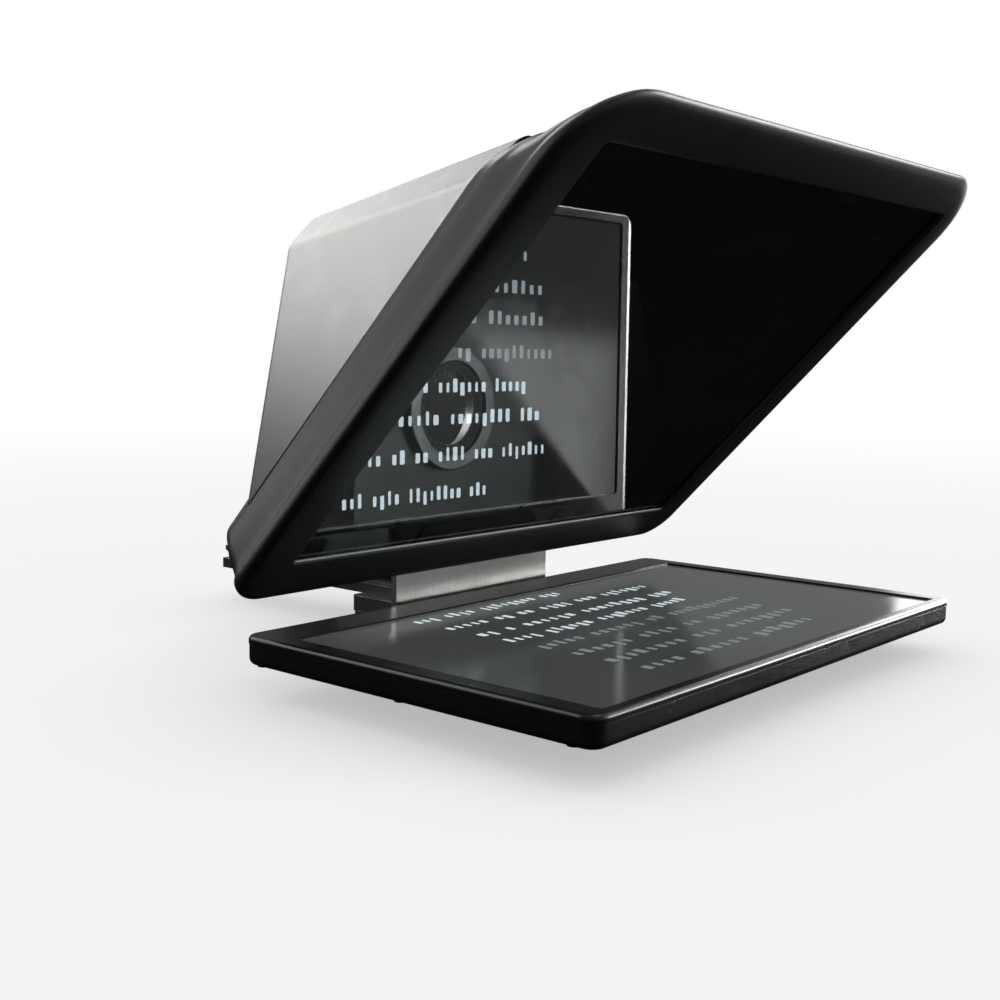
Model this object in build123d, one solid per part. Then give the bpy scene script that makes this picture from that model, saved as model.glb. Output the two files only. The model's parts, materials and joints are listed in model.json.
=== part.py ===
from build123d import *
import math
import os

# Teleprompter: a horizontal script display under a hooded 45 degree beam-splitter glass,
# carried by a bent bracket on a tripod base, with a camera rail behind the hood.
# Millimetres.  X to the right seen from in front, +Y from the reader towards the camera, +Z up.
# Origin: centre of the 3/8 inch tripod thread, on the base plate's bottom face.
# Suffixes: W, D, T width, depth, thickness; HX half width; R radius; 0 and 1 the two ends.

os.makedirs("parts", exist_ok=True)

# ---------------------------------------------------------------- driving sizes
SIN45 = math.sqrt(0.5)

# display
DISPLAY_W, DISPLAY_D, DISPLAY_T = 372.0, 231.0, 16.0
DISPLAY_TOP, DISPLAY_REAR = 34.0, 68.0
DISPLAY_BOTTOM = DISPLAY_TOP - DISPLAY_T
DISPLAY_FRONT = DISPLAY_REAR - DISPLAY_D
DISPLAY_Y = (DISPLAY_REAR + DISPLAY_FRONT) / 2
SEAM_Z = 29.6                       # the bezel sits on the rear cover here
LCD_TOP, LCD_BOTTOM, TRAY_BOTTOM = 32.8, 31.0, 26.4
LIT_W, LIT_Y0, LIT_Y1 = 344.0, -155.1, 38.4
LIT_D, LIT_Y = LIT_Y1 - LIT_Y0, (LIT_Y0 + LIT_Y1) / 2
VESA = 37.5                         # half of the 75 mm hole pattern

# base, bracket and rail
BASE_HX, BASE_T, BASE_Y0, BASE_Y1 = 32.0, 14.0, -92.0, 150.0
BRACKET_HX, BRACKET_T, BRACKET_Y0, BRACKET_FACE_Y = 70.5, 4.0, -100.0, 69.5
RAIL_Y0, RAIL_Y1, RAIL_Z0, RAIL_Z1 = 78.0, 298.0, 24.0, 40.0
THREAD_38_R, THREAD_14_R = 3.97, 2.55   # minor radii of the tripod threads

# carriage and camera platform
CARRIAGE_Y0, CARRIAGE_Y1, CARRIAGE_TOP = 165.0, 235.0, 50.0
CAMERA_Y = 200.0
PLATFORM_Z0, PLATFORM_Z1, PAD_TOP = 90.0, 96.0, 98.0
CAMERA_SCREW_R = 3.175              # 1/4 inch

# glass frame: u runs up the glass, depth is measured behind its front face
GLASS_Y, GLASS_Z = 85.8, 34.0       # the u = 0, depth = 0 point
GLASS_HX, GLASS_U0, GLASS_U1, GLASS_T = 177.0, 51.5, 338.5, 3.0
GLASS_BACK = Vector(0, SIN45, SIN45)
GLASS_FRONT = GLASS_BACK * -1
GLASS_UP = Vector(0, -SIN45, SIN45)

# hood
OPEN_HX, OPEN_U0, OPEN_U1 = 170.9, 57.5, 332.6
WALL = 3.0
RIM_BACK = 28.0                     # depth where the rim meets the shell
REAR_Y = 83.0                       # the shell's rear panel
RECESS_HX, RECESS_Z0, RECESS_Z1, RECESS_R = 94.3, 75.5, 218.5, 8.0
COLLAR_HX, COLLAR_Z0, COLLAR_Z1 = 104.4, RECESS_Z0 - 3.0, RECESS_Z1 + 10.0
COLLAR_Y0, COLLAR_Y1 = 95.0, 99.0
LENS_Z = 147.0

# ---------------------------------------------------------------- helpers
ON_BASE = (Align.CENTER, Align.CENTER, Align.MIN)


def box(x0, x1, y0, y1, z0, z1):
    middle = Pos((x0 + x1) / 2, (y0 + y1) / 2, (z0 + z1) / 2)
    return middle * Box(x1 - x0, y1 - y0, z1 - z0)


def rod(start, axis, r, length):
    return Plane(origin=start, z_dir=axis) * Cylinder(r, length, align=ON_BASE)


def rod_x(x, y, z, r, length):
    return rod((x, y, z), (1, 0, 0), r, length)


def rod_y(x, y, z, r, length):
    return rod((x, y, z), (0, 1, 0), r, length)


def rod_z(x, y, z, r, length):
    return rod((x, y, z), (0, 0, 1), r, length)


def cone(start, axis, r0, r1, length):
    return Plane(origin=start, z_dir=axis) * Cone(r0, r1, length, align=ON_BASE)


def rounded_box(x, y, w, d, r, z0, z1):
    return extrude(Plane(origin=(x, y, z0)) * RectangleRounded(w, d, r), z1 - z0)


def rounded_box_y(hx, z0, z1, r, y0, y1):
    """Box centred on x = 0 whose rounded outline faces along Y."""
    plane = Plane(origin=(0, y1, (z0 + z1) / 2), x_dir=(1, 0, 0), z_dir=(0, -1, 0))
    return extrude(plane * RectangleRounded(2 * hx, z1 - z0, r), y1 - y0)


def xz_prism(points, y0, y1):
    plane = Plane(origin=(0, y1, 0), x_dir=(1, 0, 0), z_dir=(0, -1, 0))
    return extrude(plane * make_face(Polyline(*points, close=True)), y1 - y0)


def glass_plane(depth):
    """Plane parallel to the glass: local x is -X, local y is u, the normal is GLASS_BACK."""
    origin = (0, GLASS_Y + SIN45 * depth, GLASS_Z + SIN45 * depth)
    return Plane(origin=origin, x_dir=(-1, 0, 0), z_dir=(0, SIN45, SIN45))


def glass_point(x, u, depth):
    return Vector(x, GLASS_Y + SIN45 * (depth - u), GLASS_Z + SIN45 * (depth + u))


def glass_rect(depth, hx, u0, u1, r, top_r=None):
    """Rounded rectangle in the glass frame; top_r, if given, rounds the upper corners."""
    place = glass_plane(depth) * Pos(0, (u0 + u1) / 2)
    if top_r is None:
        return place * RectangleRounded(2 * hx, u1 - u0, r)
    h = (u1 - u0) / 2
    top_x, top_y = hx - top_r, h - top_r        # upper arc centre
    low_x, low_y = hx - r, -h + r               # lower arc centre
    top_mid, low_mid = top_r * SIN45, r * SIN45
    outline = (
        Line((hx, low_y), (hx, top_y))
        + ThreePointArc((hx, top_y), (top_x + top_mid, top_y + top_mid), (top_x, h))
        + Line((top_x, h), (-top_x, h))
        + ThreePointArc((-top_x, h), (-top_x - top_mid, top_y + top_mid), (-hx, top_y))
        + Line((-hx, top_y), (-hx, low_y))
        + ThreePointArc((-hx, low_y), (-low_x - low_mid, low_y - low_mid), (-low_x, -h))
        + Line((-low_x, -h), (low_x, -h))
        + ThreePointArc((low_x, -h), (low_x + low_mid, low_y - low_mid), (hx, low_y)))
    return place * make_face(outline)


def glass_box(x0, x1, u0, u1, depth0, depth1):
    place = glass_plane(depth0) * Pos(-(x0 + x1) / 2, (u0 + u1) / 2)
    return extrude(place * Rectangle(x1 - x0, u1 - u0), depth1 - depth0)


def glass_rod(x, u, depth0, depth1, r):
    return rod(glass_point(x, u, depth0), GLASS_BACK, r, depth1 - depth0)


def glass_loft(stations):
    return loft([glass_rect(*station) for station in stations], ruled=True)


def beyond(point, normal):
    """A block that fills the outer side of a plane."""
    return Plane(origin=point, z_dir=normal) * Box(2400, 2400, 1200, align=ON_BASE)


def knob(start, axis, r, length):
    """Round knob with twelve grip flutes."""
    body = rod(start, axis, r, length)
    body = fillet(body.edges().filter_by(GeomType.CIRCLE), 1.4)
    plane = Plane(origin=start, z_dir=axis)
    flutes = []
    for i in range(12):
        angle = 2 * math.pi * i / 12
        place = plane * Pos((r + 0.6) * math.cos(angle), (r + 0.6) * math.sin(angle), -1)
        flutes.append(place * Cylinder(1.6, length + 2, align=ON_BASE))
    return body - flutes


def countersunk_screw(top, axis, r, head_r, head_h, length):
    """The axis points from the head's top into the work."""
    screw = cone(top, axis, head_r, r, head_h) + rod(top, axis, r, length)
    plane = Plane(origin=top, z_dir=axis)
    return screw - extrude(plane * RegularPolygon(r * 0.62, 6), head_h * 0.7)


def pan_screw(seat, axis, r, head_r, head_h, length):
    """The axis points from the seat under the head into the work."""
    axis = Vector(axis).normalized()
    seat = Vector(seat)
    top = seat - axis * head_h
    screw = rod(top, axis, head_r, head_h) + rod(seat, axis, r, length)
    plane = Plane(origin=top, z_dir=axis)
    return screw - extrude(plane * RegularPolygon(r * 0.68, 6), head_h * 0.6)


def mirror_x(points):
    """Each point at -x, then at +x."""
    return [(side * x, *rest) for (x, *rest) in points for side in (-1, 1)]


def save(name, shape):
    """Write one shape, or a list of shapes, to parts/name.step."""
    solids = []
    for item in (shape if isinstance(shape, (list, tuple)) else [shape]):
        solids += list(item.solids())
    for solid in solids:
        solid.label = name
    out = Compound(label=name, children=solids) if len(solids) > 1 else solids[0]
    out.label = name
    export_step(out, "parts/%s.step" % name)


# ================================================================ display
COVER_SCREWS = mirror_x([(180.5, -148.0), (180.5, -45.0), (180.5, 56.0), (90.0, 58.0)])
VESA_HOLES = [(sx * VESA, DISPLAY_Y + sy * VESA) for sx in (-1, 1) for sy in (-1, 1)]
COVER_FLOOR = DISPLAY_BOTTOM + 2.4
SCREW_SEAT = DISPLAY_BOTTOM + 3.4
BUTTON_YS = {"power_button": 42.0, "menu_up_button": 24.0, "menu_down_button": 12.0}
BUTTON_Z, BUTTON_R = 23.8, 2.6
BOARD_TOP = 22.0


def display_block(inset, r, z0, z1):
    """Rounded block smaller than the display's outline by inset in width and depth."""
    return rounded_box(0, DISPLAY_Y, DISPLAY_W - inset, DISPLAY_D - inset, r, z0, z1)


def panel_block(margin, r, z0, z1):
    """Rounded block larger than the lit area by margin in width and depth."""
    return rounded_box(0, LIT_Y, LIT_W + margin, LIT_D + margin, r, z0, z1)


# bezel, with a bevel around the lit area
bezel = display_block(0, 9, SEAM_Z, DISPLAY_TOP)
bezel = fillet(bezel.faces().sort_by(Axis.Z)[-1].outer_wire().edges(), 2.6)
bevel = loft([
    Plane(origin=(0, LIT_Y, LCD_TOP)) * RectangleRounded(LIT_W, LIT_D, 1.2),
    Plane(origin=(0, LIT_Y, DISPLAY_TOP + 0.01)) * RectangleRounded(LIT_W + 3.2, LIT_D + 3.2, 2.8),
], ruled=True)
bezel = bezel - bevel
bezel = bezel - panel_block(6, 1.0, SEAM_Z - 1, LCD_TOP)
for x, y in COVER_SCREWS:
    bezel = bezel - rod_z(x, y, SEAM_Z, 1.25, 2.6)
# locating step that drops inside the rear cover's wall
step = display_block(6.2, 6, SEAM_Z - 1.4, SEAM_Z) - display_block(9.0, 4.6, SEAM_Z - 2, SEAM_Z + 1)
for x, y in COVER_SCREWS:
    step = step - rod_z(x, y, SEAM_Z - 3, 4.3, 4)
save("display_bezel", bezel + step)

# panel and the backlight under it
save("lcd_panel", panel_block(5, 0.8, LCD_BOTTOM, LCD_TOP))
tray = panel_block(5, 0.8, TRAY_BOTTOM, LCD_BOTTOM) - panel_block(3, 0.6, TRAY_BOTTOM + 1, 32)
save("backlight_tray", tray)
save("light_guide", panel_block(2.4, 0.6, TRAY_BOTTOM + 1.1, LCD_BOTTOM - 0.1))

# rear cover: a shallow tray with screw posts
cover = display_block(0.6, 8.7, DISPLAY_BOTTOM, SEAM_Z)
cover = fillet(cover.faces().sort_by(Axis.Z)[0].outer_wire().edges(), 4.0)
cover = cover - display_block(6.0, 6.2, COVER_FLOOR, SEAM_Z + 1)
for x, y in COVER_SCREWS:
    cover = cover + rod_z(x, y, DISPLAY_BOTTOM, 3.6, SEAM_Z - DISPLAY_BOTTOM)
    cover = cover - rod_z(x, y, DISPLAY_BOTTOM, 1.5, 20)
    cover = cover - rod_z(x, y, DISPLAY_BOTTOM - 1, 2.6, SCREW_SEAT - DISPLAY_BOTTOM + 1)
for x, y in VESA_HOLES:
    cover = cover + rod_z(x, y, DISPLAY_BOTTOM, 6, 7.5)
    cover = cover - rod_z(x, y, DISPLAY_BOTTOM - 1, 2.0, 7.5)
# stiffening ribs under the panel
RIB_Z0, RIB_Z1, RIB_HALF, CROSS_RIB_Y = DISPLAY_BOTTOM + 2, DISPLAY_BOTTOM + 6, 0.9, -125.0
for x in (-120.0, -60.0, 60.0):
    cover = cover + box(x - RIB_HALF, x + RIB_HALF, DISPLAY_FRONT + 4, 8, RIB_Z0, RIB_Z1)
cover = cover + box(-178, 178, CROSS_RIB_Y - RIB_HALF, CROSS_RIB_Y + RIB_HALF, RIB_Z0, RIB_Z1)
# vent slots in the underside: first slot's x, y range
VENT_PITCH, VENT_W = 7, 3.4
for i in range(9):
    for first_x, y0, y1 in ((-168, -30, 22), (104, -110, -75)):
        x = first_x + i * VENT_PITCH
        cover = cover - box(x, x + VENT_W, y0, y1, DISPLAY_BOTTOM - 1, DISPLAY_BOTTOM + 3)
# socket openings in the rear wall, button openings in the right wall
cover = cover - box(111.4, 120.6, 60, 70, 22.2, 25.6) - box(131.9, 147.1, 60, 70, 21.9, 27.6)
for y in BUTTON_YS.values():
    cover = cover - rod_x(178, y, BUTTON_Z, BUTTON_R + 0.1, 12)
save("display_rear_cover", cover)
save("display_screws", [pan_screw((x, y, SCREW_SEAT), (0, 0, 1), 1.25, 2.3, 1.6, 10.6)
                        for x, y in COVER_SCREWS])

# controller board; components: centre x, y, width, depth, height
COMPONENTS = [
    (110, 30, 18, 18, 1.6), (138, 22, 10, 12, 1.2), (126, 44, 6, 5, 2.4), (150, 40, 6, 6, 3.0),
    (101, 48, 8, 5, 2.0), (99, 22, 6, 7, 1.7), (152, 12, 5, 8, 1.4)]
board = box(95, 160, 2, 56, BOARD_TOP - 1.1, BOARD_TOP)
for x, y, w, d, h in COMPONENTS:
    board = board + box(x - w / 2, x + w / 2, y - d / 2, y + d / 2, BOARD_TOP, BOARD_TOP + h)
save("controller_board", board)
save("board_spacers", [rod_z(x, y, COVER_FLOOR, 2.4, 0.5) for x, y in ((98, 8), (156, 52))])

# sockets: a shell, its cavity and the tongue in it
usb = box(111.6, 120.4, 57.5, 65.6, 22.4, 25.4) - box(112.3, 119.7, 59, 67, 23.0, 24.8)
save("usb_c_socket", usb + box(113.4, 118.6, 58, 64.5, 23.7, 24.1))
video = box(132.1, 146.9, 57.5, 65.8, 22.1, 26.2) - box(132.8, 146.2, 59, 67, 22.8, 25.5)
save("video_socket", video + box(134, 145, 58, 64.5, 23.9, 24.4))

# ribbon cable: along the panel, down, then across to the board
cable = box(70, 76, 0, 20, 25.9, 26.3) + box(70, 76, 19.6, 20, 24, 26.3)
cable = cable + box(70, 101, 19, 25, 23.7, 24.1) + box(70, 76, 19, 20, 23.7, 26.3)
save("panel_ribbon_cable", cable)

# buttons, each with a collar inside the wall and a switch behind it
BUTTON_BOARD_X, SWITCH_HALF = 173.4, 2.2
save("button_board", box(BUTTON_BOARD_X - 1.2, BUTTON_BOARD_X, 6, 48, 20.6, 26.0))
for name, y in BUTTON_YS.items():
    button = rod_x(180.0, y, BUTTON_Z, BUTTON_R, 6.7)
    button = fillet(button.faces().sort_by(Axis.X)[-1].edges(), 0.6)
    save(name, button + rod_x(178.6, y, BUTTON_Z, 3.0, 1.6))
save("button_switches", [
    box(BUTTON_BOARD_X, 177.2, y - SWITCH_HALF, y + SWITCH_HALF,
        BUTTON_Z - SWITCH_HALF, BUTTON_Z + SWITCH_HALF) for y in BUTTON_YS.values()])

# ================================================================ base and bracket
INSERT_38_R, INSERT_38_H = 7.0, 11.2
INSERT_14_R, INSERT_14_H = 5.0, 9.6
INSERT_14_YS = (-34.0, 34.0)
BASE_SCREWS = [(sx * 20.0, y) for sx in (-1, 1) for y in (-72.0, 52.0)]
RAIL_SCREWS = [(sx * 9.0, y) for sx in (-1, 1) for y in (90.0, 138.0)]

# base plate
base = rounded_box(0, (BASE_Y0 + BASE_Y1) / 2, 2 * BASE_HX, BASE_Y1 - BASE_Y0, 6, 0, BASE_T)
base = chamfer(base.faces().sort_by(Axis.Z)[0].outer_wire().edges(), 0.8)
base = base - rod_z(0, 0, -1, INSERT_38_R, INSERT_38_H + 1)
for y in INSERT_14_YS:
    base = base - rod_z(0, y, -1, INSERT_14_R, INSERT_14_H + 1)
for x, y in BASE_SCREWS:
    base = base - rod_z(x, y, 2, 2.5, 13)
for x, y in RAIL_SCREWS:
    base = base - rod_z(x, y, 3, 2.5, 12)
# lightening pockets, open downwards: y range, width
for y0, y1, w in ((-86, -58, 22), (66, 128, 26)):
    base = base - rounded_box(0, (y0 + y1) / 2, w, y1 - y0, 4, -1, 7)
save("base_plate", base)


def tripod_insert(y, r, bore_r, height):
    return rod_z(0, y, 0, r, height) - rod_z(0, y, -1, bore_r, height)


# threaded inserts, blind at the top
save("tripod_insert_3_8", tripod_insert(0, INSERT_38_R, THREAD_38_R, INSERT_38_H))
save("tripod_inserts_1_4", [tripod_insert(y, INSERT_14_R, THREAD_14_R, INSERT_14_H)
                            for y in INSERT_14_YS])

# bracket: floor under the display, upright behind it, top flange square to the glass
FLOOR_Z0, FLOOR_Z1 = BASE_T, BASE_T + BRACKET_T
BRACKET_BACK_Y = BRACKET_FACE_Y + BRACKET_T
FLANGE_U0, FLANGE_U1, FLANGE_END = 20.5, 24.5, 26.5     # its two faces, and its end depth
HOOD_SCREW_XS, HOOD_SCREW_DEPTH = (-46.0, 0.0, 46.0), 16.0


def on_flange(u, y):
    """The (y, z) point at height u on the glass frame and at y."""
    return y, GLASS_Z + SIN45 * u + (y - (GLASS_Y - SIN45 * u))


outer_bend = on_flange(FLANGE_U0, BRACKET_BACK_Y)
inner_bend = on_flange(FLANGE_U1, BRACKET_FACE_Y)
end_low = glass_point(0, FLANGE_U0, FLANGE_END)
end_high = glass_point(0, FLANGE_U1, FLANGE_END)
outer_heel, inner_heel = (BRACKET_BACK_Y, FLOOR_Z0), (BRACKET_FACE_Y, FLOOR_Z1)
profile = make_face(Polyline(
    (BRACKET_Y0, FLOOR_Z0), outer_heel, outer_bend, (end_low.Y, end_low.Z),
    (end_high.Y, end_high.Z), inner_bend, inner_heel, (BRACKET_Y0, FLOOR_Z1), close=True))
for (y, z), r in ((outer_heel, 5.4), (inner_heel, 1.4), (outer_bend, 2.0), (inner_bend, 4.0)):
    corner = sorted(profile.vertices(), key=lambda v: (v.X - y) ** 2 + (v.Y - z) ** 2)[0]
    profile = fillet([corner], r)
side_plane = Plane(origin=(-BRACKET_HX, 0, 0), x_dir=(0, 1, 0), z_dir=(1, 0, 0))
bracket = extrude(side_plane * profile, 2 * BRACKET_HX)
front_corners = [e for e in bracket.edges().filter_by(Axis.Z) if e.center().Y < BRACKET_Y0 + 1]
bracket = fillet(front_corners, 6.0)
for x, y in VESA_HOLES:
    bracket = bracket - rod_z(x, y, FLOOR_Z0 - 1, 2.25, 6)
for x, y in BASE_SCREWS:
    bracket = bracket - rod_z(x, y, FLOOR_Z0 - 1, 2.65, 6)
    bracket = bracket - cone((x, y, FLOOR_Z1), (0, 0, -1), 4.8, 2.65, 2.4)
for x in HOOD_SCREW_XS:
    bracket = bracket - rod(glass_point(x, FLANGE_U0 - 1, HOOD_SCREW_DEPTH), GLASS_UP, 2.2, 6)
save("support_bracket", bracket)
save("bracket_base_screws", [countersunk_screw((x, y, FLOOR_Z1), (0, 0, -1), 2.5, 4.7, 2.35, 14)
                             for x, y in BASE_SCREWS])
save("bracket_display_screws", [pan_screw((x, y, FLOOR_Z0), (0, 0, 1), 2.0, 3.6, 2.4, 10)
                                for x, y in VESA_HOLES])
save("bracket_hood_screws", [
    pan_screw(glass_point(x, FLANGE_U0, HOOD_SCREW_DEPTH), GLASS_UP, 2.0, 3.6, 2.4, 12)
    for x in HOOD_SCREW_XS])

# ================================================================ camera rail
RAIL_SCREW_SEAT = 33.5
STOP_PIN_YS, STOP_PIN_R, STOP_PIN_Z0 = (128.0, 292.0), 2.0, 30

# pedestal between the base plate and the rail
pedestal = rounded_box(0, (RAIL_Y0 + BASE_Y1) / 2, 2 * BASE_HX, BASE_Y1 - RAIL_Y0, 4,
                       BASE_T, RAIL_Z0)
for x, y in RAIL_SCREWS:
    pedestal = pedestal - rod_z(x, y, BASE_T - 1, 2.7, 12)
save("rail_pedestal", pedestal)

# rail: x, z outline with a dovetail top and a shallow central groove
RAIL_OUTLINE = [
    (-22, RAIL_Z0), (22, RAIL_Z0), (22, 31), (16, 31), (16, 33.5), (19.5, 37), (19.5, RAIL_Z1),
    (4, RAIL_Z1), (4, 38.5), (-4, 38.5), (-4, RAIL_Z1),
    (-19.5, RAIL_Z1), (-19.5, 37), (-16, 33.5), (-16, 31), (-22, 31)]
rail = xz_prism(RAIL_OUTLINE, RAIL_Y0, RAIL_Y1)
for x, y in RAIL_SCREWS:
    rail = rail - rod_z(x, y, RAIL_Z0 - 1, 2.7, 20) - rod_z(x, y, RAIL_SCREW_SEAT, 4.8, 10)
for y in STOP_PIN_YS:
    rail = rail - rod_z(0, y, STOP_PIN_Z0, STOP_PIN_R, 12)
# long slots that lighten the overhanging part
for y0, y1 in ((162, 210), (222, 282)):
    rail = rail - rounded_box(0, (y0 + y1) / 2, 6.6, y1 - y0, 3.2, 20, 45)
save("camera_rail", rail)
save("rail_screws", [pan_screw((x, y, RAIL_SCREW_SEAT), (0, 0, -1), 2.5, 4.4, 4.0, 24)
                     for x, y in RAIL_SCREWS])
save("rail_stop_pins", [rod_z(0, y, STOP_PIN_Z0, STOP_PIN_R, 14.5) for y in STOP_PIN_YS])

# ================================================================ carriage and clamp
CLAMP_Y, CLAMP_Z = (CARRIAGE_Y0 + CARRIAGE_Y1) / 2, 45.6
GUIDE_YS, GUIDE_R = (CLAMP_Y - 24.0, CLAMP_Y + 24.0), 2.0
STUD_R, STUD_HOLE_R = 3.0, 3.05
RISER_SCREWS, RISER_SCREW_R = [(-18.0, 230.0), (18.0, 230.0)], 1.65

# carriage with the fixed jaw on its left: x, z outline
CARRIAGE_OUTLINE = [
    (-27, 31.6), (-16.3, 31.6), (-16.3, 33.6), (-19.75, 37.05), (-19.75, 40.1),
    (22.5, 40.1), (22.5, CARRIAGE_TOP), (-27, CARRIAGE_TOP)]
carriage = xz_prism(CARRIAGE_OUTLINE, CARRIAGE_Y0, CARRIAGE_Y1)
carriage = fillet([e for e in carriage.edges().filter_by(Axis.Y) if e.center().X < -26], 1.5)
for y in GUIDE_YS:
    carriage = carriage - rod_x(9, y, CLAMP_Z, GUIDE_R, 20)
carriage = carriage - rod_x(5.5, CLAMP_Y, CLAMP_Z, STUD_HOLE_R, 20)
for x, y in RISER_SCREWS:
    carriage = carriage - rod_z(x, y, 30, RISER_SCREW_R, 21)
save("carriage", carriage)

# moving jaw on the right: x, z outline
JAW_OUTLINE = [
    (16.3, 31.6), (31, 31.6), (31, CARRIAGE_TOP), (22.7, CARRIAGE_TOP), (22.7, 39.9),
    (19.75, 39.9), (19.75, 37.05), (16.3, 33.6)]
jaw = xz_prism(JAW_OUTLINE, CARRIAGE_Y0 + 2, CARRIAGE_Y1 - 2)
jaw = fillet([e for e in jaw.edges().filter_by(Axis.Y) if e.center().X > 30], 1.5)
for y in GUIDE_YS:
    jaw = jaw - rod_x(20, y, CLAMP_Z, GUIDE_R + 0.05, 20)
jaw = jaw - rod_x(20, CLAMP_Y, CLAMP_Z, STUD_HOLE_R, 20)
save("clamp_jaw", jaw)
save("jaw_guide_pins", [rod_x(9, y, CLAMP_Z, GUIDE_R, 20.5) for y in GUIDE_YS])
save("clamp_stud", rod_x(7.5, CLAMP_Y, CLAMP_Z, STUD_R, 33.5))
clamp_knob = knob((31.4, CLAMP_Y, CLAMP_Z), (1, 0, 0), 11.0, 14)
save("clamp_knob", clamp_knob - rod_x(31, CLAMP_Y, CLAMP_Z, STUD_R, 10))

# ================================================================ riser and camera platform
RISER_TOP, RISER_HX, RISER_STUD_Z = 85, 24, 74.0

# upright on the carriage, with a lip down each side that guides the platform's leg
upright = box(-RISER_HX, RISER_HX, CARRIAGE_Y1 - 10, CARRIAGE_Y1, CARRIAGE_TOP, RISER_TOP)
for x0, x1 in ((-RISER_HX, -20.15), (20.15, RISER_HX)):
    upright = upright + box(x0, x1, CARRIAGE_Y1, CARRIAGE_Y1 + 4, CARRIAGE_TOP + 3, RISER_TOP)
top_corners = [e for e in upright.edges().filter_by(Axis.Y)
               if e.center().Z > RISER_TOP - 1 and abs(e.center().X) > RISER_HX - 1]
upright = fillet(top_corners, 3)
upright = upright - rod_y(0, 224, RISER_STUD_Z, STUD_HOLE_R, 14)
for x, y in RISER_SCREWS:
    upright = upright - rod_z(x, y, CARRIAGE_TOP - 1, RISER_SCREW_R, 13)
save("riser_upright", upright)
save("riser_screws", [rod_z(x, y, 45.1, RISER_SCREW_R, 16) for x, y in RISER_SCREWS])

# camera platform: slotted leg, then the slotted table
LEG_SLOT_R, LEG_SLOT_Z0, LEG_SLOT_Z1 = 3.3, RISER_STUD_Z - 16, RISER_STUD_Z + 4   # end centres
TABLE_SLOT_R, TABLE_SLOT_Y0, TABLE_SLOT_Y1 = 3.4, 184, 212
leg = box(-20, 20, CARRIAGE_Y1 + 0.1, 243, 52, PLATFORM_Z1)
leg = leg - box(-LEG_SLOT_R, LEG_SLOT_R, 230, 250, LEG_SLOT_Z0, LEG_SLOT_Z1)
for z in (LEG_SLOT_Z0, LEG_SLOT_Z1):
    leg = leg - rod_y(0, 230, z, LEG_SLOT_R, 20)
platform = rounded_box(0, 204.0, 64, 78, 5, PLATFORM_Z0, PLATFORM_Z1)
platform = platform + leg
platform = platform - box(-TABLE_SLOT_R, TABLE_SLOT_R, TABLE_SLOT_Y0, TABLE_SLOT_Y1,
                          PLATFORM_Z0 - 1, PLATFORM_Z1 + 1)
for y in (TABLE_SLOT_Y0, TABLE_SLOT_Y1):
    platform = platform - rod_z(0, y, PLATFORM_Z0 - 1, TABLE_SLOT_R, 10)
save("camera_platform", platform)

# pad with cross grooves on both sides of its slot
pad = rounded_box(0, CAMERA_Y, 56, 62, 4, PLATFORM_Z1, PAD_TOP) - box(-5, 5, 182, 214, 90, 100)
for i in range(7):
    y = CAMERA_Y + (i - 3) * 8.5
    for x0, x1 in ((-25, -8), (8, 25)):
        pad = pad - box(x0, x1, y - 0.7, y + 0.7, PAD_TOP - 0.7, PAD_TOP + 1)
save("platform_pad", pad)
save("riser_stud", rod_y(0, 226, RISER_STUD_Z, STUD_R, 28))
riser_knob = knob((0, 243.3, RISER_STUD_Z), (0, 1, 0), 13.0, 14)
save("riser_knob", riser_knob - rod_y(0, 243, RISER_STUD_Z, STUD_R, 11))

# captive screw: head, plain neck that runs in the slot, and a threaded end above the pad
HEAD_Z, HEAD_R, HEAD_H, BAIL_Z = 85.4, 8.5, 3.5, 87.1
screw = rod_z(0, CAMERA_Y, PAD_TOP, CAMERA_SCREW_R, 5.2)
screw = chamfer(screw.faces().sort_by(Axis.Z)[-1].edges(), 0.5)
screw = screw + rod_z(0, CAMERA_Y, HEAD_Z, HEAD_R, HEAD_H)
screw = screw + rod_z(0, CAMERA_Y, HEAD_Z, 2.7, PAD_TOP - HEAD_Z)
for i in range(18):
    angle = 2 * math.pi * (i + 0.5) / 18
    x, y = 8.9 * math.cos(angle), CAMERA_Y + 8.9 * math.sin(angle)
    screw = screw - rod_z(x, y, 85, 0.8, 5)
for side in (-1, 1):
    screw = screw - rod((side * 6.0, CAMERA_Y, BAIL_Z), (side, 0, 0), 1.05, 4)
save("camera_screw", screw)

# shouldered washer above the screw's head
washer = rod_z(0, CAMERA_Y, 88.95, HEAD_R, 0.95) - rod_z(0, CAMERA_Y, 88, 2.78, 3)
shoulder = rod_z(0, CAMERA_Y, 89.8, 3.3, 1.6) - rod_z(0, CAMERA_Y, 88, 2.78, 5)
save("screw_slot_washer", washer + shoulder)

# half-ring bail pivoted in the screw's head
bail_ring = Plane(origin=(0, CAMERA_Y, BAIL_Z)) * (Circle(11.6) - Circle(9.6))
bail = Pos(0, 0, -1.0) * extrude(bail_ring, 2.0)
bail = bail & box(-20, 20, CAMERA_Y - 30, CAMERA_Y, 80, 95)
bail = bail + [rod((side * 6.2, CAMERA_Y, BAIL_Z), (side, 0, 0), 1.0, 5.2) for side in (-1, 1)]
save("camera_screw_bail", bail)

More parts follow.
